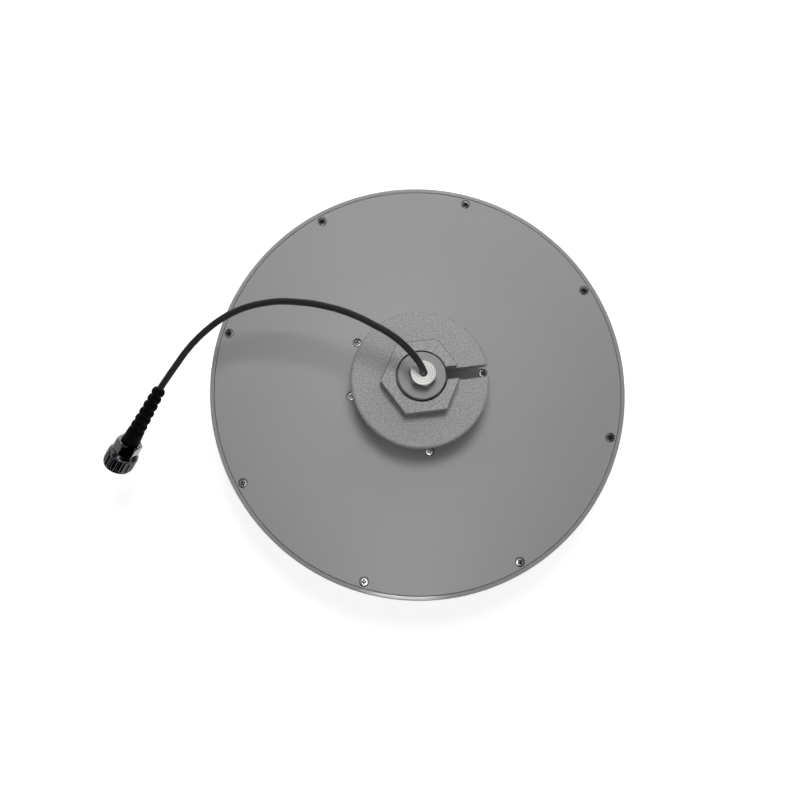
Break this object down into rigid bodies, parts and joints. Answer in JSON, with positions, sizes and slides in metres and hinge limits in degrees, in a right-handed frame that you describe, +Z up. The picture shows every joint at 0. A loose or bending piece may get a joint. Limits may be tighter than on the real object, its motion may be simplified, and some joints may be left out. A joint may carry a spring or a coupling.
{
  "type": "ceiling antenna",
  "caption": "Round ceiling antenna: shallow dome radome, flat back plate with a hollow threaded stud, slotted flange nut, metal gland and a short coaxial lead with a screw-on plug.",
  "frame": {"origin": "middle of the stud, on the back plate's ceiling face", "axes": "+Z up along the stud, into the ceiling; +X close to the nut's slot"},
  "size_m": [0.365, 0.3, 0.159],
  "materials": {
    "grey_plastic": "smooth moulded, satin",
    "stippled_plastic": "moulded with a coarse stipple",
    "screw_steel": "zinc plated",
    "turned_nickel": "turned, with fine rings",
    "chrome_plate": "bright plated",
    "sheet_aluminium": "mill finish",
    "sheet_brass": "plain",
    "white_insulator": "plain",
    "black_rubber": "matt moulded",
    "cable_jacket": "smooth jacket"
  },
  "bodies": {
    "antenna": {"radome": "grey_plastic", "rim_gasket": "black_rubber", "back_plate": "grey_plastic", "rim_screws": "screw_steel", "hub_screws": "screw_steel", "ground_screw": "screw_steel", "ground_nut": "screw_steel", "ground_plane": "sheet_aluminium", "support_posts": "white_insulator", "post_screws": "screw_steel", "radiator": "sheet_brass", "shorting_strap": "sheet_brass", "strap_rivet": "screw_steel", "feed_body": "sheet_brass", "feed_insulator": "white_insulator", "feed_pin": "sheet_brass", "inner_coax": "cable_jacket", "gland_ring": "sheet_brass", "gland_seal": "black_rubber", "gland_nut": "turned_nickel", "coax_cable": "cable_jacket", "strain_boot": "black_rubber", "crimp_ferrule": "screw_steel", "plug_body": "chrome_plate", "snap_ring": "screw_steel", "plug_insulator": "white_insulator", "centre_pin": "sheet_brass", "plug_gasket": "black_rubber"},
    "nut": {"mounting_nut": "stippled_plastic"},
    "coupling": {"coupling_nut": "chrome_plate"}
  },
  "joints": [
    {"name": "nut_travel", "type": "slide", "parent": "antenna", "child": "nut", "axis": [0, 0, 1], "range_m": [-0.019, 0.012]},
    {"name": "coupling_spin", "type": "hinge", "parent": "antenna", "child": "coupling", "pos_m": [-0.19507, -0.04126, 0.02457], "axis": [-0.5472, -0.7295, -0.4104], "continuous": true}
  ]
}
